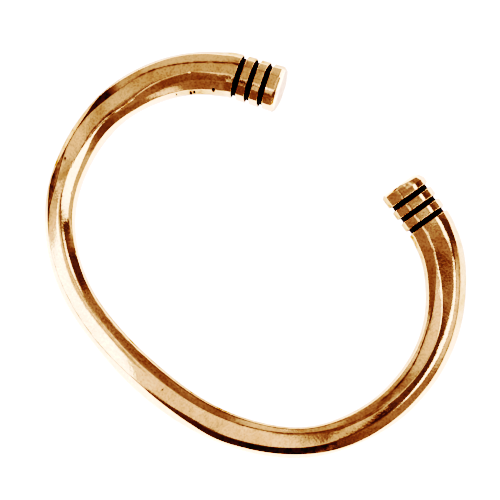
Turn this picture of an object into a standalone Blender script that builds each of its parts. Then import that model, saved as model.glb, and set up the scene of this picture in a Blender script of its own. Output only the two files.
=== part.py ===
"""Open bronze bracelet: one cast bar filed into flats, bent to an oval, with three grooves cut round each end.

The bracelet lies on its side. +X runs across the wrist, +Y out through the gap, and +Z up.
The origin is on the surface that it lies on, under the middle of its box. Lengths are in metres.
"""

import math

import bmesh
import bpy
import numpy as np

# The bent oval, measured along the middle of the bar
OVAL_WIDTH = 0.0634
OVAL_DEPTH = 0.0490
OVAL_FULLNESS = 2.25  # 2 would be an ellipse, and more is squarer
GAP = 0.0237
GAP_TO_LEFT = 0.0018  # the gap's middle lies this far to the left of the oval's

# The bar: thick at the tips and thin on the left of the back
TIP_WIDTH = 0.0073
TIP_HEIGHT = 0.0070
THIN_WIDTH = 0.0047
THIN_HEIGHT = 0.0046
TIP_RISE = 0.0005
RISE_LENGTH = 0.010
TIP_CHAMFER = 0.0004
CORNER_CUT = 0.0007  # the right tip's outer corner is filed away by this much
CORNER_REACH = 0.57  # and over this share of the band before the first groove

# The grooves round each end, counted from the tip. The end is straight as far as the last one.
GROOVE_COUNT = 3
GROOVE_WIDTH = 0.00095
GROOVE_SIDE = 0.0002  # how far each side leans in on its way down
GROOVE_DEPTH = 0.0005
GROOVE_PITCH = 0.0022
LEFT_BAND = 0.0018  # from the tip to the near edge of the first groove
RIGHT_BAND = 0.0021
BEND_START = 0.0025  # over this length the straight end turns into the oval

# How finely the bar is drawn
RING_STEP = 0.0013
LINE_STEPS = 1600

# The section, with half its width or its height as 1: the ridges stand on oval domes
CROWN_DOME = 1.03
SHOULDER_DOME = 1.09  # the outermost and the innermost ridge stand on this one
WALL_FOOT = 0.35
FOOT = 0.42

# How much of the swelling from thin to tip there is, and how far the bar is bent out of the oval,
# at shares of the bar's length from the left tip to the right one
SWELLING = [
    (0.00, 1.00), (0.05, 0.90), (0.09, 0.72), (0.13, 0.61), (0.19, 0.37), (0.25, 0.20), (0.31, 0.04),
    (0.38, 0.00), (0.43, 0.05), (0.49, 0.23), (0.55, 0.18), (0.61, 0.13), (0.66, 0.06), (0.71, 0.08),
    (0.77, 0.22), (0.83, 0.37), (0.88, 0.60), (0.93, 0.88), (1.00, 1.00),
]
BENT_OUT = [
    (0.00, -0.0002), (0.05, -0.0002), (0.09, -0.0001), (0.13, 0.0000), (0.19, 0.0004), (0.25, 0.0001),
    (0.31, 0.0002), (0.38, 0.0003), (0.43, 0.0001), (0.49, 0.0002), (0.55, 0.0001), (0.61, -0.0002),
    (0.66, -0.0003), (0.71, -0.0006), (0.77, -0.0002), (0.83, -0.0001), (0.88, 0.0001), (0.93, 0.0005),
    (0.95, 0.0003), (1.00, -0.0001),
]

# Where the file left the five upper ridges, from the outer one to the inner one, as shares of half the
# bar's width: 1 is the edge away from the wrist and -1 the edge towards it
RIDGES = [
    (0.00, (0.82, 0.43, -0.20, -0.50, -0.84)),
    (0.05, (0.77, 0.41, -0.10, -0.45, -0.83)),
    (0.09, (0.88, 0.42, -0.05, -0.42, -0.84)),
    (0.13, (0.85, 0.50, -0.16, -0.57, -0.86)),
    (0.165, (0.85, 0.40, -0.34, -0.58, -0.90)),
    (0.18, (0.87, 0.44, -0.32, -0.48, -0.86)),
    (0.205, (0.70, 0.60, -0.24, -0.36, -0.80)),
    (0.235, (0.68, 0.61, -0.20, -0.57, -0.86)),
    (0.27, (0.87, 0.42, -0.08, -0.62, -0.86)),
    (0.297, (0.75, 0.62, -0.04, -0.66, -0.88)),
    (0.33, (0.70, 0.64, -0.21, -0.82, -0.92)),
    (0.38, (0.64, 0.58, -0.27, -0.80, -0.91)),
    (0.43, (0.69, 0.63, -0.28, -0.76, -0.90)),
    (0.48, (0.55, 0.48, -0.32, -0.80, -0.91)),
    (0.52, (0.58, 0.41, -0.40, -0.83, -0.92)),
    (0.55, (0.68, 0.36, -0.44, -0.84, -0.92)),
    (0.575, (0.82, 0.44, -0.47, -0.84, -0.92)),
    (0.61, (0.78, 0.42, -0.53, -0.84, -0.91)),
    (0.66, (0.75, 0.33, -0.58, -0.82, -0.90)),
    (0.71, (0.89, 0.36, -0.34, -0.76, -0.87)),
    (0.75, (0.80, 0.31, -0.24, -0.60, -0.86)),
    (0.79, (0.78, 0.34, -0.07, -0.57, -0.84)),
    (0.84, (0.71, 0.37, -0.03, -0.68, -0.84)),
    (0.875, (0.70, 0.44, -0.15, -0.54, -0.84)),
    (0.91, (0.73, 0.45, -0.28, -0.40, -0.85)),
    (0.95, (0.80, 0.42, -0.22, -0.38, -0.85)),
    (1.00, (0.80, 0.45, -0.25, -0.42, -0.84)),
]

BRONZE_COLOUR = (0.66, 0.36, 0.13, 1.0)
BRONZE_ROUGHNESS = 0.25


def smooth_between(stations, where):
    """A smooth curve through the stations, read at where: cubics whose slopes come from the neighbours."""
    places = np.array([place for place, value in stations])
    values = np.array([value for place, value in stations], float)
    slopes = np.gradient(values, places, axis=0)
    step = np.clip(np.searchsorted(places, where, side="right") - 1, 0, len(places) - 2)
    width = places[step + 1] - places[step]
    t = np.clip((where - places[step]) / width, 0.0, 1.0)
    ahead = t * t * (3 - 2 * t)
    leave = width * t * (1 - t) ** 2
    arrive = width * t * t * (1 - t)
    if values.ndim == 2:
        ahead, leave, arrive = ahead[:, None], leave[:, None], arrive[:, None]
    between = values[step] * (1 - ahead) + values[step + 1] * ahead
    return between + slopes[step] * leave - slopes[step + 1] * arrive


def tip_bearing(across):
    """The bearing from the oval's middle to the point of its front edge that lies across from the middle."""
    half_width = OVAL_WIDTH / 2
    ahead = OVAL_DEPTH / 2 * (1 - abs(across / half_width) ** OVAL_FULLNESS) ** (1 / OVAL_FULLNESS)
    return math.atan2(ahead, across)


def oval_reach(bearing):
    """How far the oval lies from its middle: a superellipse in polar form."""
    across = np.abs(np.cos(bearing) / (OVAL_WIDTH / 2)) ** OVAL_FULLNESS
    ahead = np.abs(np.sin(bearing) / (OVAL_DEPTH / 2)) ** OVAL_FULLNESS
    return (across + ahead) ** (-1 / OVAL_FULLNESS)


def outward_of(line):
    """The level direction away from the wrist at each point of the line, which runs round it to the left."""
    along = np.gradient(line, axis=0)
    outward = np.stack([along[:, 1], -along[:, 0]], axis=1)
    return outward / np.linalg.norm(outward, axis=1, keepdims=True)


def distances_along(line):
    """How far each point of the line is from its start."""
    return np.concatenate([[0.0], np.cumsum(np.linalg.norm(np.diff(line, axis=0), axis=1))])


def grooved_length(first_band):
    """From the tip to the far edge of the last groove."""
    return first_band + (GROOVE_COUNT - 1) * GROOVE_PITCH + GROOVE_WIDTH


def with_straight_start(line, straight):
    """The line with its start laid along a chord, which eases back into the line after the straight length."""
    travelled = distances_along(line)
    chord_end = np.array([np.interp(straight, travelled, line[:, axis]) for axis in range(2)])
    chord = (chord_end - line[0]) / np.linalg.norm(chord_end - line[0])
    part = np.clip((straight + BEND_START - travelled) / BEND_START, 0.0, 1.0)
    weight = part * part * (3 - 2 * part)
    return line + (line[0] + chord * travelled[:, None] - line) * weight[:, None]


def bar_line():
    """The middle of the bar in plan, from the left tip round the back to the right tip."""
    left = tip_bearing(-GAP / 2 - GAP_TO_LEFT)
    right = tip_bearing(GAP / 2 - GAP_TO_LEFT) + 2 * math.pi
    bearing = np.linspace(left, right, LINE_STEPS)
    oval = oval_reach(bearing)[:, None] * np.stack([np.cos(bearing), np.sin(bearing)], axis=1)
    travelled = distances_along(oval)
    bent = oval + outward_of(oval) * smooth_between(BENT_OUT, travelled / travelled[-1])[:, None]
    bent = with_straight_start(bent, grooved_length(LEFT_BAND))
    return with_straight_start(bent[::-1], grooved_length(RIGHT_BAND))[::-1]


def half_sizes(share):
    """Half the bar's width and half its height at shares of its length."""
    swelling = smooth_between(SWELLING, share)
    half_width = (THIN_WIDTH + (TIP_WIDTH - THIN_WIDTH) * swelling) / 2
    half_height = (THIN_HEIGHT + (TIP_HEIGHT - THIN_HEIGHT) * swelling) / 2
    return half_width, half_height


def sections(shares, insets, outer_insets):
    """Every ring's corners as outward and upward from the bar's middle, going round.

    They are drawn in by the inset, and those on the outer side also by the outer inset.
    """
    half_width, half_height = half_sizes(shares)
    one = np.ones(len(shares))
    over = np.column_stack([one, smooth_between(RIDGES, shares), -one])
    dome = np.full(over.shape[1], CROWN_DOME)
    dome[[1, 5]] = SHOULDER_DOME
    rise = np.sqrt(1 - (over / dome) ** 2)
    under = np.array([(-1, -WALL_FOOT), (-FOOT, -1), (FOOT, -1), (1, -WALL_FOOT)])
    out = np.column_stack([over, np.outer(one, under[:, 0])])
    up = np.column_stack([rise, np.outer(one, under[:, 1])])
    drawn_in = insets[:, None] + outer_insets[:, None] * np.clip(out, 0, 1)
    shrink = 1 - drawn_in / half_height[:, None]
    return out * half_width[:, None] * shrink, up * half_height[:, None] * shrink


def end_rings(first_band):
    """Each ring of an end as its distance from the tip and how far the section is drawn in there."""
    rings = [(0.0, TIP_CHAMFER), (TIP_CHAMFER, 0.0), (CORNER_REACH * first_band, 0.0)]
    for n in range(GROOVE_COUNT):
        near = first_band + n * GROOVE_PITCH
        far = near + GROOVE_WIDTH
        rings += [(near, 0.0), (near + GROOVE_SIDE, GROOVE_DEPTH), (far - GROOVE_SIDE, GROOVE_DEPTH), (far, 0.0)]
    return rings


def all_rings(length):
    """The rings from tip to tip: the left end, evenly spaced plain ones, and the right end."""
    left = end_rings(LEFT_BAND)
    right = [(length - far, inset) for far, inset in reversed(end_rings(RIGHT_BAND))]
    start, stop = left[-1][0], right[0][0]
    count = max(2, round((stop - start) / RING_STEP))
    plain = [(start + (stop - start) * n / count, 0.0) for n in range(1, count)]
    return np.array(left + plain + right)


def bar_corners():
    """The corners of every ring in space, one row for each ring."""
    plan = bar_line()
    travelled = distances_along(plan)
    length = travelled[-1]
    from_tip = np.minimum(travelled, length - travelled)
    lifted = TIP_RISE * np.clip(1 - from_tip / RISE_LENGTH, 0, None) ** 2
    line = np.column_stack([plan, half_sizes(travelled / length)[1] + lifted])
    along = np.column_stack([np.gradient(plan, axis=0), np.gradient(lifted)])
    along /= np.linalg.norm(along, axis=1, keepdims=True)
    outward = np.column_stack([outward_of(plan), np.zeros(len(plan))])
    upward = np.cross(outward, along)
    places, insets = all_rings(length).T
    middle, out_way, up_way = (
        np.column_stack([np.interp(places, travelled, values[:, axis]) for axis in range(3)])
        for values in (line, outward, upward)
    )
    corner = CORNER_CUT * np.clip(1 - (length - places) / (CORNER_REACH * RIGHT_BAND), 0, 1)
    out, up = sections(places / length, insets, corner)
    return middle[:, None] + out[..., None] * out_way[:, None] + up[..., None] * up_way[:, None]


def stand_on_origin(rings):
    """The same corners, moved so that the box's middle is over the origin and its lowest point at zero."""
    corners = rings.reshape(-1, 3)
    low, high = corners.min(axis=0), corners.max(axis=0)
    return rings - np.array([(low[0] + high[0]) / 2, (low[1] + high[1]) / 2, low[2]])


def bronze():
    """Cast bronze, polished bright."""
    material = bpy.data.materials.new("bronze")
    material.use_nodes = True
    shader = material.node_tree.nodes["Principled BSDF"]
    shader.inputs["Base Color"].default_value = BRONZE_COLOUR
    shader.inputs["Metallic"].default_value = 1.0
    shader.inputs["Roughness"].default_value = BRONZE_ROUGHNESS
    material.diffuse_color = BRONZE_COLOUR
    return material


def loft(name, rings):
    """A closed mesh that runs from ring to ring, with a flat face on each end."""
    bm = bmesh.new()
    loops = [[bm.verts.new(corner) for corner in ring] for ring in rings]
    for near, far in zip(loops, loops[1:]):
        for k in range(len(near)):
            n = (k + 1) % len(near)
            bm.faces.new((near[k], near[n], far[n], far[k]))
    bm.faces.new(loops[0])
    bm.faces.new(loops[-1])
    bmesh.ops.recalc_face_normals(bm, faces=bm.faces)
    mesh = bpy.data.meshes.new(name)
    bm.to_mesh(mesh)
    bm.free()
    return mesh


def build():
    for old in list(bpy.data.objects):
        bpy.data.objects.remove(old, do_unlink=True)
    parts = bpy.data.collections.new("bronze bracelet")
    bpy.context.scene.collection.children.link(parts)
    mesh = loft("bracelet", stand_on_origin(bar_corners()))
    mesh.materials.append(bronze())
    bracelet = bpy.data.objects.new("bracelet", mesh)
    parts.objects.link(bracelet)


build()
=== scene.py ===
# An open bronze bracelet, lying on a white table under studio light.
# Lengths are in metres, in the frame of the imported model: +X across the wrist, +Y out through the gap and
# +Z up.
import math

import bpy
import numpy as np
from mathutils import Matrix, Vector


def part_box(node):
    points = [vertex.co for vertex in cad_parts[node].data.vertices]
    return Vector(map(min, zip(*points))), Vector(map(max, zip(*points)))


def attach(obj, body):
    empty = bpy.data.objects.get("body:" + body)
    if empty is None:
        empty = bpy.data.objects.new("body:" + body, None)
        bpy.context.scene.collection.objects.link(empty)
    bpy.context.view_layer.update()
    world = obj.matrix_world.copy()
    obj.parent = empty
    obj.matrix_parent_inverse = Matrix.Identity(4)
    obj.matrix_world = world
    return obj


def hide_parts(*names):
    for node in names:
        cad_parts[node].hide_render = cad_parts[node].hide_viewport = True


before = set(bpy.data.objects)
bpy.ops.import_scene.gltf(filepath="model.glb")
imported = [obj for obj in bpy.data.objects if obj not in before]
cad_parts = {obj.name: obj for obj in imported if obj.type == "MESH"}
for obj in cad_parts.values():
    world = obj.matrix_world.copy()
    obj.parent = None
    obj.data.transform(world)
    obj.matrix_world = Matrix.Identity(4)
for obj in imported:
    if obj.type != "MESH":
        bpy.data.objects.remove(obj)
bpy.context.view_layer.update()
lowCorner, highCorner = (np.array(corner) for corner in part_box("bracelet"))
random = np.random.default_rng(7)

# The bent bar, as the solid has it
bar = {
    "ovalWidth": 0.0634,  # along the middle of the bar
    "ovalDepth": 0.0490,
    "ovalFullness": 2.25,  # 2 would be an ellipse
    "gap": 0.0237,
    "gapToLeft": 0.0018,
    "tipWidth": 0.0073,
    "tipHeight": 0.0070,
    "thinWidth": 0.0047,
    "thinHeight": 0.0046,
    "tipRise": 0.0005,
    "riseLength": 0.010,
    "bendStart": 0.0025,
    "dome": 1.03,  # the ridges stand on this oval, with half the section as 1
    "shoulderDome": 1.09,  # the outermost and the innermost ridge stand on this one
    "wallFoot": 0.35,
    "foot": 0.42,
    # share of the bar's length from the left tip: how much of the swelling, how far it is bent outward
    "swelling": [
        (0.00, 1.00), (0.05, 0.90), (0.09, 0.72), (0.13, 0.61), (0.19, 0.37), (0.25, 0.20), (0.31, 0.04),
        (0.38, 0.00), (0.43, 0.05), (0.49, 0.23), (0.55, 0.18), (0.61, 0.13), (0.66, 0.06), (0.71, 0.08),
        (0.77, 0.22), (0.83, 0.37), (0.88, 0.60), (0.93, 0.88), (1.00, 1.00),
    ],
    "bentOut": [
        (0.00, -0.0002), (0.05, -0.0002), (0.09, -0.0001), (0.13, 0.0000), (0.19, 0.0004), (0.25, 0.0001),
        (0.31, 0.0002), (0.38, 0.0003), (0.43, 0.0001), (0.49, 0.0002), (0.55, 0.0001), (0.61, -0.0002),
        (0.66, -0.0003), (0.71, -0.0006), (0.77, -0.0002), (0.83, -0.0001), (0.88, 0.0001), (0.93, 0.0005),
        (0.95, 0.0003), (1.00, -0.0001),
    ],
    # the five upper ridges, from the outer one to the inner one, in half widths from the middle
    "ridges": [
        (0.00, (0.82, 0.43, -0.20, -0.50, -0.84)),
        (0.05, (0.77, 0.41, -0.10, -0.45, -0.83)),
        (0.09, (0.88, 0.42, -0.05, -0.42, -0.84)),
        (0.13, (0.85, 0.50, -0.16, -0.57, -0.86)),
        (0.165, (0.85, 0.40, -0.34, -0.58, -0.90)),
        (0.18, (0.87, 0.44, -0.32, -0.48, -0.86)),
        (0.205, (0.70, 0.60, -0.24, -0.36, -0.80)),
        (0.235, (0.68, 0.61, -0.20, -0.57, -0.86)),
        (0.27, (0.87, 0.42, -0.08, -0.62, -0.86)),
        (0.297, (0.75, 0.62, -0.04, -0.66, -0.88)),
        (0.33, (0.70, 0.64, -0.21, -0.82, -0.92)),
        (0.38, (0.64, 0.58, -0.27, -0.80, -0.91)),
        (0.43, (0.69, 0.63, -0.28, -0.76, -0.90)),
        (0.48, (0.55, 0.48, -0.32, -0.80, -0.91)),
        (0.52, (0.58, 0.41, -0.40, -0.83, -0.92)),
        (0.55, (0.68, 0.36, -0.44, -0.84, -0.92)),
        (0.575, (0.82, 0.44, -0.47, -0.84, -0.92)),
        (0.61, (0.78, 0.42, -0.53, -0.84, -0.91)),
        (0.66, (0.75, 0.33, -0.58, -0.82, -0.90)),
        (0.71, (0.89, 0.36, -0.34, -0.76, -0.87)),
        (0.75, (0.80, 0.31, -0.24, -0.60, -0.86)),
        (0.79, (0.78, 0.34, -0.07, -0.57, -0.84)),
        (0.84, (0.71, 0.37, -0.03, -0.68, -0.84)),
        (0.875, (0.70, 0.44, -0.15, -0.54, -0.84)),
        (0.91, (0.73, 0.45, -0.28, -0.40, -0.85)),
        (0.95, (0.80, 0.42, -0.22, -0.38, -0.85)),
        (1.00, (0.80, 0.45, -0.25, -0.42, -0.84)),
    ],
}

# The cut ends
ends = {
    "leftBand": 0.0018,  # from the tip to the first groove
    "rightBand": 0.0021,
    "grooveCount": 3,
    "groovePitch": 0.0022,
    "grooveWidth": 0.00095,
    "grooveSide": 0.0002,
    "grooveDepth": 0.0005,
    "chamfer": 0.0004,
    "cornerCut": 0.0007,  # the right tip's outer corner is filed away
    "cornerReach": 0.57,  # over this share of the right band
    "fineLength": 0.0085,  # this much of each end is drawn with close rings
    "fineRings": 170,
    "capRings": 12,
}

# How the worn surface departs from the filed one, and the shade and dark reflections painted into its colour
wearAndShade = {
    "ridgeRound": 0.00013,  # how far from a ridge its rounding starts
    "wallRound": 0.00060,
    # share along, and how much further out each of the five upper ridges starts to round
    "softRidges": [
        (0.00, (0.0, 0.0, 0.0006, 0.0, 0.0)), (0.045, (0.0, 0.0, 0.0006, 0.0, 0.0)),
        (0.08, (0.0, 0.0, 0.0, 0.0, 0.0)), (0.27, (0.0, 0.0, 0.0, 0.0, 0.0)),
        (0.31, (0.0, 0.0, 0.00035, 0.0, 0.0)), (0.40, (0.0, 0.0, 0.0004, 0.0, 0.0)),
        (0.47, (0.0, 0.0, 0.0003, 0.0, 0.0)), (0.60, (0.0, 0.0, 0.0, 0.0, 0.0)),
        (0.74, (0.0, 0.0001, 0.0001, 0.0, 0.0)), (0.80, (0.0, 0.00025, 0.0, 0.0, 0.0)),
        (0.88, (0.0, 0.0004, 0.0, 0.0, 0.0)), (1.00, (0.0, 0.0004, 0.0, 0.0001, 0.0)),
    ],
    "lowTarnishAndShade": 0.72,  # tarnish and painted shade on the walls and underneath, darker towards the bottom
    "crown": 0.006,  # a flat's rise in the middle, as a share of its breadth
    "wobble": 0.0035,  # waves in the surface, as a share of half the section
    "plainRings": 700,
    "bendPoints": 5,  # around each ridge
    "flatPoints": [3, 4, 9, 6, 3, 3, 1, 1, 1, 1, 1],  # across each flat, from the outer bevel round
    # share along, place across in half widths, radius, depth
    "pits": [
        (0.067, -0.82, 0.00040, 0.00012),
        (0.0665, -0.76, 0.00020, 0.00008),
        (0.089, -0.93, 0.00026, 0.00010),
        (0.0935, -0.96, 0.00030, 0.00012),
        (0.110, -0.93, 0.00022, 0.00008),
        (0.204, 0.52, 0.00015, 0.00006),
        (0.245, 0.43, 0.00020, 0.00010),
        (0.276, -0.64, 0.00015, 0.00005),
        (0.430, 0.04, 0.00012, 0.00004),
        (0.511, -0.05, 0.00015, 0.00005),
        (0.545, 0.02, 0.00013, 0.00004),
        (0.705, 0.80, 0.00013, 0.00004),
    ],
    # share along, and how far tarnish with painted shade and dark reflections darkens the outer bevel,
    # shoulder, crown, inner crown, inner shoulder and inner bevel
    "tarnishAndShade": [
        (0.00, (0.65, 0.0, 0.0, 0.55, 0.0, 0.3)), (0.025, (0.85, 0.0, 0.0, 0.55, 0.1, 0.3)),
        (0.045, (0.75, 0.0, 0.0, 0.75, 0.2, 0.4)), (0.06, (0.70, 0.0, 0.0, 0.05, 0.0, 0.6)),
        (0.09, (0.85, 0.0, 0.0, 0.0, 0.0, 0.85)), (0.12, (0.85, 0.0, 0.0, 0.0, 0.0, 0.3)),
        (0.158, (0.85, 0.0, 0.0, 0.0, 0.0, 0.2)), (0.17, (0.90, 0.88, 0.0, 0.0, 0.05, 0.2)),
        (0.20, (0.92, 0.90, 0.0, 0.0, 0.55, 0.2)), (0.225, (0.80, 0.72, 0.0, 0.0, 0.0, 0.2)),
        (0.25, (0.88, 0.80, 0.0, 0.0, 0.0, 0.2)), (0.265, (0.90, 0.78, 0.12, 0.0, 0.0, 0.2)),
        (0.28, (0.88, 0.82, 0.40, 0.0, 0.0, 0.2)), (0.295, (0.50, 0.85, 0.34, 0.25, 0.0, 0.2)),
        (0.31, (0.0, 0.45, 0.0, 0.25, 0.0, 0.2)), (0.325, (0.0, 0.0, 0.0, 0.0, 0.0, 0.3)),
        (0.36, (0.0, 0.0, 0.0, 0.0, 0.0, 0.5)), (0.41, (0.0, 0.0, 0.0, 0.0, 0.0, 0.85)),
        (0.475, (0.0, 0.0, 0.0, 0.0, 0.0, 0.85)), (0.50, (0.0, 0.60, 0.0, 0.0, 0.15, 0.85)),
        (0.54, (0.0, 0.66, 0.0, 0.0, 0.50, 1.0)), (0.58, (0.0, 0.74, 0.0, 0.30, 0.60, 0.95)),
        (0.61, (0.0, 0.95, 0.0, 0.05, 0.1, 0.80)), (0.66, (0.0, 0.97, 0.20, 0.30, 0.4, 0.80)),
        (0.68, (0.05, 0.99, 0.35, 0.30, 0.2, 0.65)), (0.70, (0.10, 0.45, 0.40, 0.0, 0.0, 0.60)),
        (0.722, (0.15, 0.0, 0.20, 0.0, 0.0, 0.65)), (0.742, (0.15, 0.0, 0.60, 0.0, 0.28, 0.60)),
        (0.762, (0.15, 0.0, 0.10, 0.0, 0.0, 0.50)), (0.78, (0.15, 0.0, 0.0, 0.35, 0.0, 0.55)),
        (0.80, (0.20, 0.08, 0.0, 0.15, 0.0, 0.60)), (0.84, (0.30, 0.08, 0.0, 0.0, 0.10, 0.60)),
        (0.87, (0.65, 0.0, 0.0, 0.0, 0.25, 0.60)), (0.90, (0.55, 0.0, 0.0, 0.0, 0.0, 0.65)),
        (0.94, (0.50, 0.0, 0.0, 0.0, 0.0, 0.82)), (1.00, (0.40, 0.0, 0.0, 0.0, 0.0, 0.82)),
    ],
    # painted dark reflection lines along the ridges: which of the five, from where to where, how much
    "paintedRidgeReflections": [
        (1, 0.040, 0.140, 0.7), (1, 0.200, 0.240, 0.6), (0, 0.300, 0.470, 0.35),
        (2, 0.180, 0.260, 0.5), (2, 0.590, 0.745, 0.5), (0, 0.790, 0.920, 0.5), (3, 0.750, 0.865, 0.7),
    ],
}

bronze = {
    "bright": (0.89, 0.53, 0.29),
    "brown": (0.60, 0.32, 0.16),
    "dull": (0.22, 0.125, 0.075),
    # the dark that tarnish, painted shade and painted dark reflections blend towards
    "tarnishAndShade": (0.10, 0.055, 0.030),
    "edge": (1.0, 0.96, 0.90),  # what is left of the mirroring at a low angle
    # the mirroring's tint where tarnish and painted shade dim it
    "tarnishAndShadeEdge": (0.42, 0.34, 0.29),
    # painted dark reflection lines on the ridges
    "paintedRidgeReflection": (0.06, 0.025, 0.010),
    # the black in the grooves and pits
    "cutBlack": (0.010, 0.006, 0.004),
    "roughness": 0.055,
    "grain": 0.40,  # how much the fine grain darkens the bronze
    "bump": 0.12,
}

shot = {
    "turn": 41.0,  # +X points this many degrees clockwise from the photograph's right
    "lean": 5.5,  # from straight above
    "leanTowards": -45.0,  # in the photograph, counted from its right
    "distance": 0.43,
    "lens": 200.0,
    "pixel": 0.000155,
    "frameSize": 500,
    "middle": (248.9, 257.4),  # the pixel where the bracelet's middle lies
    "middleHeight": 0.003,
}


def smoothBetween(stations, where):
    # cubics through the stations, whose slopes come from the neighbouring ones
    places = np.array([place for place, value in stations])
    values = np.array([value for place, value in stations], float)
    slopes = np.gradient(values, places, axis=0)
    step = np.clip(np.searchsorted(places, where, side="right") - 1, 0, len(places) - 2)
    width = places[step + 1] - places[step]
    t = np.clip((where - places[step]) / width, 0.0, 1.0)
    ahead, leave, arrive = t * t * (3 - 2 * t), width * t * (1 - t) ** 2, width * t * t * (1 - t)
    if values.ndim == 2:
        ahead, leave, arrive = ahead[:, None], leave[:, None], arrive[:, None]
    between = values[step] * (1 - ahead) + values[step + 1] * ahead
    return between + slopes[step] * leave - slopes[step + 1] * arrive


def smoothStep(low, high, values):
    # 0 below low, 1 above high, and 3t^2 - 2t^3 between
    t = np.clip((values - low) / (high - low), 0.0, 1.0)
    return t * t * (3 - 2 * t)


def distancesAlong(line):
    # the lengths of the steps, added up
    return np.concatenate([[0.0], np.cumsum(np.linalg.norm(np.diff(line, axis=0), axis=1))])


def outwardOf(line):
    # the level normal on the right of the line, which runs round the wrist to the left
    along = np.gradient(line, axis=0)
    outward = np.stack([along[:, 1], -along[:, 0]], axis=1)
    return outward / np.linalg.norm(outward, axis=1, keepdims=True)


def tipBearing(across):
    # the bearing of the point on the oval's front that lies across from its middle: |x|^n + |y|^n = 1
    power = bar["ovalFullness"]
    ahead = bar["ovalDepth"] / 2 * (1 - abs(across / (bar["ovalWidth"] / 2)) ** power) ** (1 / power)
    return math.atan2(ahead, across)


def groovedLength(band):
    # from the tip to the far edge of the last groove
    return band + (ends["grooveCount"] - 1) * ends["groovePitch"] + ends["grooveWidth"]


def withStraightStart(line, straight):
    # a chord over the straight length, eased back into the line
    travelled = distancesAlong(line)
    chordEnd = np.array([np.interp(straight, travelled, line[:, axis]) for axis in range(2)])
    chord = (chordEnd - line[0]) / np.linalg.norm(chordEnd - line[0])
    weight = 1 - smoothStep(straight, straight + bar["bendStart"], travelled)
    return line + (line[0] + chord * travelled[:, None] - line) * weight[:, None]


def barLine(count=4000):
    # a superellipse in polar form, from tip to tip, moved outward by the bends
    left = tipBearing(-bar["gap"] / 2 - bar["gapToLeft"])
    right = tipBearing(bar["gap"] / 2 - bar["gapToLeft"]) + 2 * math.pi
    bearing = np.linspace(left, right, count)
    across = np.abs(np.cos(bearing) / (bar["ovalWidth"] / 2)) ** bar["ovalFullness"]
    ahead = np.abs(np.sin(bearing) / (bar["ovalDepth"] / 2)) ** bar["ovalFullness"]
    reach = (across + ahead) ** (-1 / bar["ovalFullness"])
    oval = reach[:, None] * np.stack([np.cos(bearing), np.sin(bearing)], axis=1)
    travelled = distancesAlong(oval)
    bent = oval + outwardOf(oval) * smoothBetween(bar["bentOut"], travelled / travelled[-1])[:, None]
    bent = withStraightStart(bent, groovedLength(ends["leftBand"]))
    return withStraightStart(bent[::-1], groovedLength(ends["rightBand"]))[::-1]


def halfSizes(share):
    # half the width and half the height: thin + (tip - thin) x swelling
    swelling = smoothBetween(bar["swelling"], share)
    width = bar["thinWidth"] + (bar["tipWidth"] - bar["thinWidth"]) * swelling
    height = bar["thinHeight"] + (bar["tipHeight"] - bar["thinHeight"]) * swelling
    return width / 2, height / 2


def filedCorners(share):
    # eleven corners for each ring as (rings, corners, 2), in half sizes: outward and up
    one = np.ones(len(share))
    over = np.column_stack([one, smoothBetween(bar["ridges"], share), -one])
    dome = np.full(over.shape[1], bar["dome"])
    dome[[1, 5]] = bar["shoulderDome"]
    rise = np.sqrt(1 - (over / dome) ** 2)
    under = np.array([(-1, -bar["wallFoot"]), (-bar["foot"], -1), (bar["foot"], -1), (1, -bar["wallFoot"])])
    out = np.column_stack([over, np.outer(one, under[:, 0])])
    up = np.column_stack([rise, np.outer(one, under[:, 1])])
    width, height = halfSizes(share)
    return np.stack([out * width[:, None], up * height[:, None]], axis=-1)


def roundedSection(corners, share):
    # each corner becomes a quadratic Bezier curve, and each flat a low arch between two of them
    before, after = np.roll(corners, 1, axis=1) - corners, np.roll(corners, -1, axis=1) - corners
    lengthBefore = np.linalg.norm(before, axis=-1, keepdims=True)
    lengthAfter = np.linalg.norm(after, axis=-1, keepdims=True)
    rounding = np.full(lengthBefore.shape, wearAndShade["ridgeRound"])
    rounding[:, [0, 6, 7, 8, 9, 10]] = wearAndShade["wallRound"]
    rounding[:, 1:6, 0] += smoothBetween(wearAndShade["softRidges"], share)
    start = np.minimum(rounding, 0.42 * np.minimum(lengthBefore, lengthAfter))
    near = corners + before / lengthBefore * start
    far = corners + after / lengthAfter * start
    t = np.linspace(0, 1, wearAndShade["bendPoints"])[:, None]
    bends = near[:, :, None] * (1 - t) ** 2 + corners[:, :, None] * 2 * t * (1 - t) + far[:, :, None] * t**2
    span = (np.roll(near, -1, axis=1) - far)[:, :, None]
    facing = np.stack([span[..., 1], -span[..., 0]], axis=-1)
    pieces = []
    for k, count in enumerate(wearAndShade["flatPoints"]):
        t = ((np.arange(count) + 1) / (count + 1))[:, None]
        arch = facing[:, k] * wearAndShade["crown"] * 4 * t * (1 - t)
        pieces += [bends[:, k], far[:, k, None] + span[:, k] * t + arch]
    return np.concatenate(pieces, axis=1)


def cutDepth(places, length):
    # how far each ring is drawn in by the chamfer and the grooves, and how deep in a groove it is from 0 to 1
    inset = np.zeros(len(places))
    groove = np.zeros(len(places))
    for fromTip, band in ((places, ends["leftBand"]), (length - places, ends["rightBand"])):
        inset = np.maximum(inset, ends["chamfer"] * np.clip(1 - fromTip / ends["chamfer"], 0, 1) ** 1.2)
        for n in range(ends["grooveCount"]):
            start = band + n * ends["groovePitch"]
            stop = start + ends["grooveWidth"]
            sides = smoothStep(start, start + ends["grooveSide"], fromTip)
            sides = sides * (1 - smoothStep(stop - ends["grooveSide"], stop, fromTip))
            groove = np.maximum(groove, sides)
    return np.maximum(inset, groove * ends["grooveDepth"]), groove


def ringPlaces(length):
    # close rings on both ends and even ones between
    fine = np.linspace(0, ends["fineLength"], ends["fineRings"], endpoint=False)
    plain = np.linspace(ends["fineLength"], length - ends["fineLength"], wearAndShade["plainRings"])
    return np.concatenate([fine, plain, length - fine[::-1]])


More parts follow.
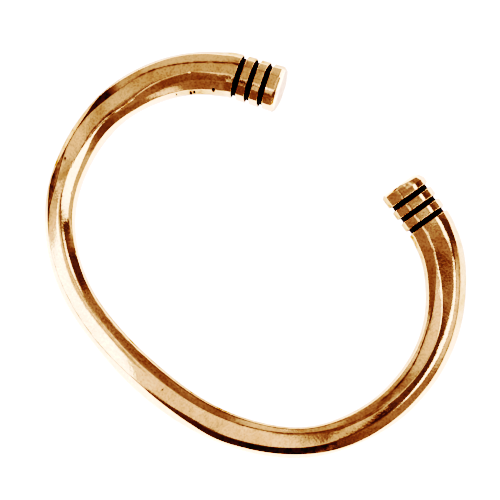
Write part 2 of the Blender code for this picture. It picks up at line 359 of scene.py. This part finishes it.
def waves(share, around):
    # a few long ripples along the bar and round it, each with a random phase
    total = np.zeros((len(share), len(around)))
    for turns, lobes in ((9, 1), (14, 2), (23, 1), (31, 3), (44, 2), (60, 4)):
        phase = random.uniform(0, 2 * math.pi, 2)
        ripple = np.sin(2 * math.pi * turns * share + phase[0])[:, None]
        total += ripple * np.sin(2 * math.pi * lobes * around + phase[1])[None] / 3
    return total


def pitMarks(share, length, section, width):
    # how black each pit is from 0 to 1, deep ones more, and the depth of its rounded bowl
    mark = np.zeros(section.shape[:2])
    depth = np.zeros(section.shape[:2])
    for place, across, radius, deep in wearAndShade["pits"]:
        along = (share - place)[:, None] * length
        over = section[..., 0] - across * width[:, None]
        reach = np.hypot(along, over) / radius
        bowl = np.clip(1 - reach**2, 0, 1) * (section[..., 1] > 0)
        mark = np.maximum(mark, bowl * min(1.0, deep / 0.0001))
        depth = np.maximum(depth, bowl * deep)
    return mark, depth


def tarnishAndShadeMarks(share, section, width, height):
    # each flat's own tarnish and painted shade, blended over the ridge to the next one, and the walls' below
    over = section[..., 0] / width[:, None]
    tarnishAndShade = smoothBetween(wearAndShade["tarnishAndShade"], share)
    ridges = smoothBetween(bar["ridges"], share)
    mark = np.broadcast_to(tarnishAndShade[:, :1], over.shape)
    for k in range(5):
        inside = smoothStep(-0.03, 0.03, ridges[:, k, None] - over)
        mark = mark + (tarnishAndShade[:, k + 1, None] - tarnishAndShade[:, k, None]) * inside
    below = 1 - smoothStep(-0.05, 0.20, section[..., 1] / height[:, None])
    return np.clip(mark + (wearAndShade["lowTarnishAndShade"] - mark) * below, 0, 1)


def paintedRidgeReflectionMarks(share, around):
    # a thin painted dark reflection line on the middle of a ridge's bend, fading at both its ends
    mark = np.zeros((len(share), around))
    starts = np.cumsum(wearAndShade["flatPoints"]) + wearAndShade["bendPoints"] * np.arange(1, 12)
    profile = np.sin(np.linspace(0.15, 0.85, wearAndShade["bendPoints"]) * math.pi)
    for ridge, start, stop, much in wearAndShade["paintedRidgeReflections"]:
        fade = smoothStep(start - 0.008, start + 0.008, share)
        fade = fade * (1 - smoothStep(stop - 0.008, stop + 0.008, share))
        bend = slice(starts[ridge], starts[ridge] + wearAndShade["bendPoints"])
        mark[:, bend] = np.maximum(mark[:, bend], much * fade[:, None] * profile)
    return mark


def cornerInset(fromTip, across):
    # the right tip's outer corner slopes in, more the nearer to the tip and the further out
    reach = ends["cornerReach"] * ends["rightBand"]
    return ends["cornerCut"] * np.clip(1 - fromTip / reach, 0, 1)[:, None] * np.clip(across, 0, 1)


def barSurface():
    # the grid of points (rings, around, 3) and the marks on it (rings, around, 4)
    plan = barLine()
    travelled = distancesAlong(plan)
    length = travelled[-1]
    places = ringPlaces(length)
    share = places / length
    width, height = halfSizes(share)
    fromTip = np.minimum(travelled, length - travelled)
    lifted = bar["tipRise"] * np.clip(1 - fromTip / bar["riseLength"], 0, None) ** 2
    line = np.column_stack([plan, halfSizes(travelled / length)[1] + lifted])
    along = np.column_stack([np.gradient(plan, axis=0), np.gradient(lifted)])
    along /= np.linalg.norm(along, axis=1, keepdims=True)
    outward = np.column_stack([outwardOf(plan), np.zeros(len(plan))])
    upward = np.cross(outward, along)
    ways = [np.column_stack([np.interp(places, travelled, way[:, axis]) for axis in range(3)])
            for way in (line, outward, upward, along)]
    middle, outWay, upWay, alongWay = (way[:, None] for way in ways)

    section = roundedSection(filedCorners(share), share)
    around = np.arange(section.shape[1]) / section.shape[1]
    pit, pitDepth = pitMarks(share, length, section, width)
    inset, groove = cutDepth(places, length)
    filed = cornerInset(length - places, section[..., 0] / width[:, None])
    size = np.linalg.norm(section, axis=-1)
    above = smoothStep(-1.0, -0.7, section[..., 1] / height[:, None])  # the flat that it lies on stays flat
    shrink = 1 - (inset[:, None] + filed) / height[:, None] - pitDepth / size
    shrink = shrink + wearAndShade["wobble"] * waves(share, around) * above
    section = section * shrink[..., None]
    points = middle + section[..., 0:1] * outWay + section[..., 1:2] * upWay
    grooves = np.broadcast_to(groove[:, None], pit.shape)
    # tarnish, with painted shade and dark reflections on chosen facets and low on the walls
    tarnishAndShade = tarnishAndShadeMarks(share, section, width, height)
    marks = np.stack([grooves, pit, tarnishAndShade, paintedRidgeReflectionMarks(share, section.shape[1])], axis=-1)
    return points, marks


def closedTube(points):
    # quads from ring to ring, and rings that shrink onto one point at each end
    count, around = points.shape[:2]
    caps = []
    for tip in (points[0], points[-1]):
        centre = tip.mean(axis=0)
        shrink = np.linspace(1, 0, ends["capRings"] + 1)[1:-1, None, None]
        caps.append((centre + (tip - centre) * shrink, centre))
    (leftRings, leftCentre), (rightRings, rightCentre) = caps
    rings = np.concatenate([leftRings[::-1], points, rightRings])
    vertices = np.concatenate([rings.reshape(-1, 3), [leftCentre, rightCentre]])
    ring = np.arange(len(rings) - 1)[:, None] * around
    step = np.arange(around)[None]
    nextStep = (step + 1) % around
    quads = [ring + step, ring + nextStep, ring + around + nextStep, ring + around + step]
    quads = np.stack(quads, axis=-1).reshape(-1, 4)
    first, last = np.arange(around), (len(rings) - 1) * around + np.arange(around)
    leftFan = np.stack([np.roll(first, -1), first, np.full(around, len(vertices) - 2)], axis=-1)
    rightFan = np.stack([last, np.roll(last, -1), np.full(around, len(vertices) - 1)], axis=-1)
    return vertices, quads, np.concatenate([leftFan, rightFan]), len(leftRings)


def tubeMesh(name, points, marks):
    # the closed tube as a mesh, with each mark as an attribute of its points
    vertices, quads, triangles, capRings = closedTube(points)
    mesh = bpy.data.meshes.new(name)
    mesh.vertices.add(len(vertices))
    mesh.vertices.foreach_set("co", vertices.ravel())
    corners = np.concatenate([quads.ravel(), triangles.ravel()]).astype(np.int32)
    sizes = np.concatenate([np.full(len(quads), 4), np.full(len(triangles), 3)])
    mesh.loops.add(len(corners))
    mesh.loops.foreach_set("vertex_index", corners)
    mesh.polygons.add(len(sizes))
    mesh.polygons.foreach_set("loop_start", (np.cumsum(sizes) - sizes).astype(np.int32))
    mesh.update(calc_edges=True)
    ringMarks = np.concatenate([np.repeat(marks[:1], capRings, axis=0), marks,
                                np.repeat(marks[-1:], capRings, axis=0)]).reshape(-1, marks.shape[-1])
    ringMarks = np.concatenate([ringMarks, ringMarks[[0, -1]]])
    # the tarnish mark carries painted shade, and the crease mark painted dark reflection lines
    for column, label in enumerate(("groove", "pit", "tarnishAndShade", "paintedRidgeReflection")):
        layer = mesh.attributes.new(label, "FLOAT", "POINT")
        layer.data.foreach_set("value", ringMarks[:, column].astype(np.float32))
    mesh.polygons.foreach_set("use_smooth", np.ones(len(sizes), bool))
    mesh.validate()
    return mesh


def makeBracelet():
    # the bar's surface, moved so that its box has the solid's middle and stands where the solid stands
    points, marks = barSurface()
    flat = points.reshape(-1, 3)
    low, high = flat.min(axis=0), flat.max(axis=0)
    middle = (lowCorner + highCorner) / 2
    points = points + np.array([middle[0], middle[1], lowCorner[2]])
    points = points - np.array([(low[0] + high[0]) / 2, (low[1] + high[1]) / 2, low[2]])
    piece = bpy.data.objects.new("bracelet_bar", tubeMesh("bracelet_bar", points, marks))
    bpy.context.scene.collection.objects.link(piece)
    return piece


def newNode(tree, kind, inputs=None, **settings):
    # a node with its inputs linked to sockets or set to values
    node = tree.nodes.new(kind)
    for name, value in settings.items():
        setattr(node, name, value)
    for name, value in (inputs or {}).items():
        if isinstance(value, bpy.types.NodeSocket):
            tree.links.new(value, node.inputs[name])
        else:
            node.inputs[name].default_value = value
    return node


def blended(tree, factor, first, second):
    # a colour mix
    node = newNode(tree, "ShaderNodeMix", data_type="RGBA")
    for index, value in ((0, factor), (6, first), (7, second)):
        if isinstance(value, bpy.types.NodeSocket):
            tree.links.new(value, node.inputs[index])
        else:
            node.inputs[index].default_value = value
    return node.outputs[2]


def ranged(tree, value, low, high, toLow=0.0, toHigh=1.0):
    # low..high becomes toLow..toHigh, clamped and eased
    inputs = {"Value": value, "From Min": low, "From Max": high, "To Min": toLow, "To Max": toHigh}
    return newNode(tree, "ShaderNodeMapRange", inputs, interpolation_type="SMOOTHSTEP").outputs[0]


def noise(tree, place, scale, detail=3.0):
    # fractal noise, with scale in waves per metre
    inputs = {"Vector": place, "Scale": scale, "Detail": detail, "Roughness": 0.6}
    return newNode(tree, "ShaderNodeTexNoise", inputs).outputs["Fac"]


def bronzeFinish():
    # bright metal under layers: brown blotches, fine grain, tarnish with painted shade, painted dark
    # reflection lines along ridges, black in cuts
    material = bpy.data.materials.new("bronze")
    material.use_nodes = True
    tree = material.node_tree
    shader = tree.nodes["Principled BSDF"]
    shader.inputs["Metallic"].default_value = 1.0
    place = newNode(tree, "ShaderNodeTexCoord").outputs["Object"]
    groove, pit, tarnishAndShade, paintedRidgeReflection = (newNode(tree, "ShaderNodeAttribute", attribute_name=name).outputs["Fac"]
                                    for name in ("groove", "pit", "tarnishAndShade", "paintedRidgeReflection"))
    blotches = noise(tree, place, 220.0, 5.0)
    mottle = noise(tree, place, 900.0, 4.0)
    grain = noise(tree, place, 3000.0)

    bright, brown = (*bronze["bright"], 1), (*bronze["brown"], 1)
    tone = blended(tree, ranged(tree, blotches, 0.45, 0.75, 0.0, 0.5), bright, brown)
    tone = blended(tree, ranged(tree, mottle, 0.5, 0.7, 0.0, 0.3), tone, brown)
    tone = blended(tree, ranged(tree, grain, 0.4, 0.75, 0.0, bronze["grain"]), tone, (*bronze["dull"], 1))
    # tarnish, painted shade and painted dark reflections darken the bronze
    tarnishAndShadeAmount = newNode(tree, "ShaderNodeMath", {0: tarnishAndShade, 1: ranged(tree, mottle, 0.3, 0.6, 1.1, 0.8)},
                   operation="MULTIPLY", use_clamp=True).outputs[0]
    tone = blended(tree, tarnishAndShadeAmount, tone, (*bronze["tarnishAndShade"], 1))
    # painted dark reflection lines along the ridges darken the bronze
    paintedRidgeReflectionAmount = newNode(tree, "ShaderNodeMath", {0: paintedRidgeReflection, 1: ranged(tree, mottle, 0.35, 0.6, 0.4, 1.1)},
                   operation="MULTIPLY", use_clamp=True).outputs[0]
    tone = blended(tree, paintedRidgeReflectionAmount, tone, (*bronze["paintedRidgeReflection"], 1))
    cuts = {0: ranged(tree, groove, 0.15, 0.5), 1: ranged(tree, pit, 0.05, 0.7)}
    dark = newNode(tree, "ShaderNodeMath", cuts, operation="MAXIMUM").outputs[0]
    tone = blended(tree, dark, tone, (*bronze["cutBlack"], 1))
    tree.links.new(tone, shader.inputs["Base Color"])
    # the mirroring's tint dims where tarnish and painted shade are
    edge = blended(tree, tarnishAndShadeAmount, (*bronze["edge"], 1), (*bronze["tarnishAndShadeEdge"], 1))
    tree.links.new(edge, shader.inputs["Specular Tint"])

    gloss = ranged(tree, mottle, 0.3, 0.7, bronze["roughness"] - 0.02, bronze["roughness"] + 0.04)
    roughness = newNode(tree, "ShaderNodeMix", {0: dark, 2: gloss, 3: 0.8}, data_type="FLOAT").outputs[0]
    tree.links.new(roughness, shader.inputs["Roughness"])
    bump = newNode(tree, "ShaderNodeBump", {"Height": grain, "Strength": bronze["bump"], "Distance": 0.0001})
    tree.links.new(bump.outputs["Normal"], shader.inputs["Normal"])
    return material


def photoDirection(bearing, height):
    # a direction (cos b cos h, sin b cos h, sin h) from a bearing in the photograph and a height, in degrees
    turn = math.radians(bearing + shot["turn"])
    rise = math.radians(height)
    return Vector((math.cos(turn) * math.cos(rise), math.sin(turn) * math.cos(rise), math.sin(rise)))


# The studio as the bronze mirrors it. Each patch has its bearing in the photograph, height above the table,
# half breadth, half height and slant in degrees, softness of the edge as a share of the patch, and
# brightness. Each patch is laid over those before it.
studio = {
    "room": 0.14,
    "table": 1.60,
    "patches": [
        ("wallLeft", 132, 62, 26, 14, 0, 0.6, 0.20),
        ("wallTop", 75, 50, 18, 8, 0, 0.6, 0.20),
        ("lampTop", 66, 61, 6, 6, 0, 0.5, 0.60),
        ("ceiling", 145, 87, 6, 4, 0, 0.6, 0.39),
        ("ceilingBeam", 90, 79, 5, 6, 0, 0.5, 0.50),
        ("ceilingLeft", 188, 78, 5, 7, 0, 0.5, 0.46),
        ("wallHigh", 158, 73, 4, 3, 0, 0.6, 0.28),
        ("cornerLeft", 158, 54, 7, 5, 0, 0.4, 0.35),
        ("windowLeftFoot", 178, 50, 15, 4, 0, 0.5, 0.42),
        ("windowLeftSide", 212, 58, 9, 5, 0, 0.5, 0.60),
        ("windowLeft", 189, 63, 7.5, 7.5, 0, 0.25, 2.0),
        ("wallRight", 345, 24, 18, 9, 0, 0.5, 0.25),
        ("windowRightFoot", 345, 39, 14, 5, 0, 0.7, 0.42),
        ("windowRight", 333, 56, 15, 9, 0, 0.2, 1.9),
        ("shadeOverhead", 350, 78, 9, 5, 0, 0.4, 0.155),
        ("shadeTop", 48, 74, 6, 5, 0, 0.5, 0.36),
        ("darkOverhead", 315, 75, 6, 7, 0, 0.3, 0.07),
        ("darkOverheadFoot", 322, 69.5, 3.5, 3.5, 0, 0.3, 0.06),
        ("darkCeiling", 264, 81, 7, 5, 0, 0.4, 0.08),
        ("darkArc", 18, 42, 20, 7, -38, 0.3, 0.07),
        ("lampRight", 2, 33, 5, 4, 0, 0.5, 0.20),
        ("stripRight", 25, 55, 7.5, 10, 0, 0.4, 1.60),
        ("footRight", 48, 13, 8, 5.5, 0, 0.5, 0.50),
        ("footFarRight", 8, 22, 6, 4, 0, 0.5, 0.50),
        ("darkRight", 24, 28, 9, 6, 0, 0.4, 0.065),
        ("darkBelow", 253, 63, 13.5, 9, 0, 0.5, 0.105),
        ("darkBelowFoot", 241, 30, 8, 8, 0, 0.4, 0.11),
        ("lampBelow", 278, 27, 5.5, 4, 0, 0.4, 0.55),
        ("darkCorner", 296, 24, 7, 6, 0, 0.5, 0.11),
        ("wallTopFoot", 98, 13, 24, 12, 0, 0.4, 0.26),
        ("footLight", 82, 6, 8, 5, 0, 0.5, 0.36),
        ("shadeTopFoot", 57, 25, 10, 8, 0, 0.5, 0.115),
        ("wallLeftFoot", 134, 16, 12, 6, 0, 0.5, 0.20),
        ("cornerFoot", 159, 19, 14, 5, 0, 0.5, 0.37),
        ("shadeLeftFoot", 188, 21, 11, 6, 0, 0.5, 0.125),
        ("darkLeft", 134, 43, 6, 5, 0, 0.5, 0.10),
    ],
}


def lightStudio():
    # each patch is an ellipse: the direction, turned to face the patch and divided by its half sizes
    world = bpy.data.worlds.new("studio")
    bpy.context.scene.world = world
    world.use_nodes = True
    tree = world.node_tree
    background = tree.nodes["Background"]
    direction = newNode(tree, "ShaderNodeTexCoord").outputs["Generated"]
    colour = (studio["room"],) * 3 + (1,)
    for name, bearing, height, breadth, rise, slant, softness, brightness in studio["patches"]:
        turned = (math.radians(slant), -math.radians(height), math.radians(bearing + shot["turn"]))
        reach = (1.0, math.sin(math.radians(breadth)), math.sin(math.radians(rise)))
        towards = photoDirection(bearing, height)
        inputs = {"Vector": direction, "Location": towards, "Rotation": turned, "Scale": reach}
        facing = newNode(tree, "ShaderNodeMapping", inputs, vector_type="TEXTURE", label=name)
        away = newNode(tree, "ShaderNodeVectorMath", {0: facing.outputs[0]}, operation="LENGTH")
        inside = ranged(tree, away.outputs["Value"], 1 - softness / 2, 1 + softness / 2, 1.0, 0.0)
        colour = blended(tree, inside, colour, (brightness, brightness, brightness, 1))
    seen = newNode(tree, "ShaderNodeLightPath").outputs["Is Camera Ray"]
    colour = blended(tree, seen, colour, (1.0, 1.0, 1.0, 1))
    tree.links.new(colour, background.inputs["Color"])


def layTable():
    # a plain square that glows a little, so that it stays white under the soft light
    size = 3.0
    mesh = bpy.data.meshes.new("table")
    corners = [(-size, -size, 0), (size, -size, 0), (size, size, 0), (-size, size, 0)]
    mesh.from_pydata(corners, [], [(0, 1, 2, 3)])
    table = bpy.data.objects.new("table", mesh)
    bpy.context.scene.collection.objects.link(table)
    material = bpy.data.materials.new("whiteTable")
    material.use_nodes = True
    shader = material.node_tree.nodes["Principled BSDF"]
    shader.inputs["Base Color"].default_value = (0.9, 0.9, 0.9, 1)
    shader.inputs["Roughness"].default_value = 0.9
    shader.inputs["Emission Color"].default_value = (1.0, 0.995, 0.985, 1)
    shader.inputs["Emission Strength"].default_value = studio["table"]
    mesh.materials.append(material)


def aimCamera():
    # a long lens, nearly straight above; the target is the middle, shifted by whole pixels of the photograph
    data = bpy.data.cameras.new("camera")
    data.lens = shot["lens"]
    data.sensor_width = shot["frameSize"] * shot["pixel"] / shot["distance"] * shot["lens"]
    data.clip_start = 0.01
    right, up = photoDirection(0, 0), photoDirection(90, 0)
    towards = photoDirection(shot["leanTowards"], 90 - shot["lean"])
    offset = (shot["frameSize"] / 2 - shot["middle"][0], shot["middle"][1] - shot["frameSize"] / 2)
    middle = (lowCorner + highCorner) / 2
    target = Vector((middle[0], middle[1], shot["middleHeight"]))
    target += right * offset[0] * shot["pixel"] + up * offset[1] * shot["pixel"]
    camera = bpy.data.objects.new("camera", data)
    bpy.context.scene.collection.objects.link(camera)
    side = up.cross(towards).normalized()
    top = towards.cross(side)
    turned = Matrix((side, top, towards)).transposed().to_4x4()
    camera.matrix_world = Matrix.Translation(target + towards * shot["distance"]) @ turned
    bpy.context.scene.camera = camera


# Brightness as the print shows it: deep shadows, a steep rise and a long shoulder up to white. Red rises a
# little more in the middle, and blue in the shadows.
tones = {
    "red": [(0.028, 0.005), (0.048, 0.048), (0.068, 0.15), (0.092, 0.278), (0.113, 0.38), (0.158, 0.56),
            (0.263, 0.745), (0.33, 0.805), (0.566, 0.905), (0.947, 0.968)],
    "green": [(0.028, 0.003), (0.048, 0.028), (0.068, 0.122), (0.092, 0.30), (0.113, 0.39), (0.158, 0.508),
              (0.263, 0.693), (0.33, 0.753), (0.566, 0.871), (0.947, 0.956)],
    "blue": [(0.028, 0.003), (0.035, 0.013), (0.046, 0.047), (0.056, 0.12), (0.068, 0.185), (0.085, 0.258),
             (0.113, 0.385), (0.158, 0.505), (0.263, 0.693), (0.33, 0.753), (0.566, 0.871), (0.947, 0.956)],
}


def setTones():
    # straight pieces between the listed points, for each colour
    view = bpy.context.scene.view_settings
    view.view_transform = "Standard"
    view.look = "None"
    view.use_curve_mapping = True
    for curve, points in zip(view.curve_mapping.curves, tones.values()):
        for dark, bright in points:
            curve.points.new(dark, bright)
        for point in curve.points:
            point.handle_type = "VECTOR"
    view.curve_mapping.update()


bracelet = makeBracelet()
bracelet.data.materials.append(bronzeFinish())
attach(bracelet, "root")
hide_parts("bracelet")
print("bracelet: bar, grooves and pits")

lightStudio()
layTable()
aimCamera()
setTones()
print("studio: light, table, camera and tones")
